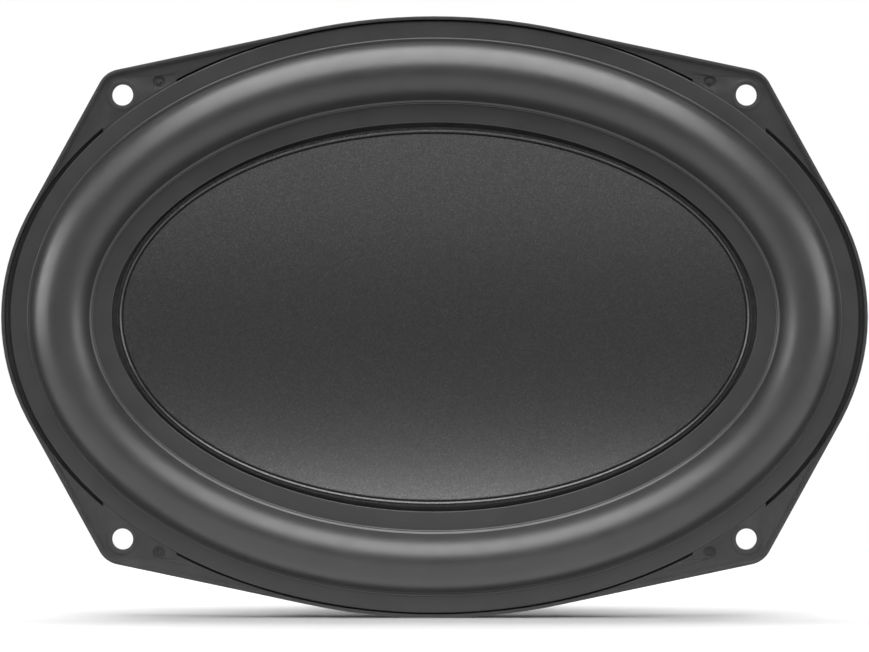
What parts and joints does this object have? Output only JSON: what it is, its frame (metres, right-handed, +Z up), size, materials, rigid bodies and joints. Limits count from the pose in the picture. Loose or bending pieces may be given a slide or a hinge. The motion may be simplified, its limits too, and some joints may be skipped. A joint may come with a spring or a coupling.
{
  "type": "oval car loudspeaker",
  "caption": "Oval 6 x 9 inch car loudspeaker: eared basket flange, half-roll rubber surround, concave dish cone and ferrite motor; the cone and voice coil slide on a sprung suspension.",
  "frame": {"origin": "centre of the four mounting holes, on the back face of the flange", "axes": "-Y points out of the front of the speaker, +X along the long way of the oval, +Z up as it stands in a vertical panel"},
  "size_m": [0.236, 0.0902, 0.1638],
  "materials": {
    "basket_plastic": "fine-textured black composite",
    "foam": "closed-cell foam",
    "plated_steel": "clear zinc plate",
    "ferrite": "ground ferrite",
    "ring_aluminium": "turned",
    "screen_steel": "dark perforated sheet",
    "screw_steel": "bright zinc",
    "phenolic": "brown phenolic board",
    "tinned_brass": "stamped",
    "rivet_brass": "rolled",
    "rivet_steel": "rolled",
    "surround_rubber": "satin butyl rubber",
    "spider_cloth": "resin-dipped cotton weave",
    "braided_copper": "braided tinsel",
    "cone_plastic": "moulded polypropylene",
    "dish_finish": "satin with fine metal fleck",
    "former_aluminium": "rolled foil",
    "kraft_paper": "wrapped paper",
    "enamelled_copper": "enamelled wire",
    "eyelet_brass": "crimped"
  },
  "bodies": {
    "chassis": {"basket": "basket_plastic", "rear_gasket": "foam", "top_plate": "plated_steel", "magnet": "ferrite", "pole_yoke": "plated_steel", "shorting_ring": "ring_aluminium", "vent_screen": "screen_steel", "motor_screws": "screw_steel", "terminal_board": "phenolic", "positive_tab": "tinned_brass", "negative_tab": "tinned_brass", "tab_rivets": "rivet_brass", "board_rivets": "rivet_steel", "surround": "surround_rubber", "spider": "spider_cloth", "positive_lead": "braided_copper", "negative_lead": "braided_copper"},
    "cone_assembly": {"cone": "cone_plastic", "dish": "dish_finish", "voice_coil_former": "former_aluminium", "former_collar": "kraft_paper", "voice_coil_winding": "enamelled_copper", "lead_eyelets": "eyelet_brass", "coil_lead_wires": "enamelled_copper"}
  },
  "joints": [
    {"name": "cone_travel", "type": "slide", "parent": "chassis", "child": "cone_assembly", "axis": [0, -1, 0], "range_m": [-0.006, 0.006], "stiffness_N_per_m": 3000, "deforming": ["surround", "spider", "positive_lead", "negative_lead"]}
  ]
}
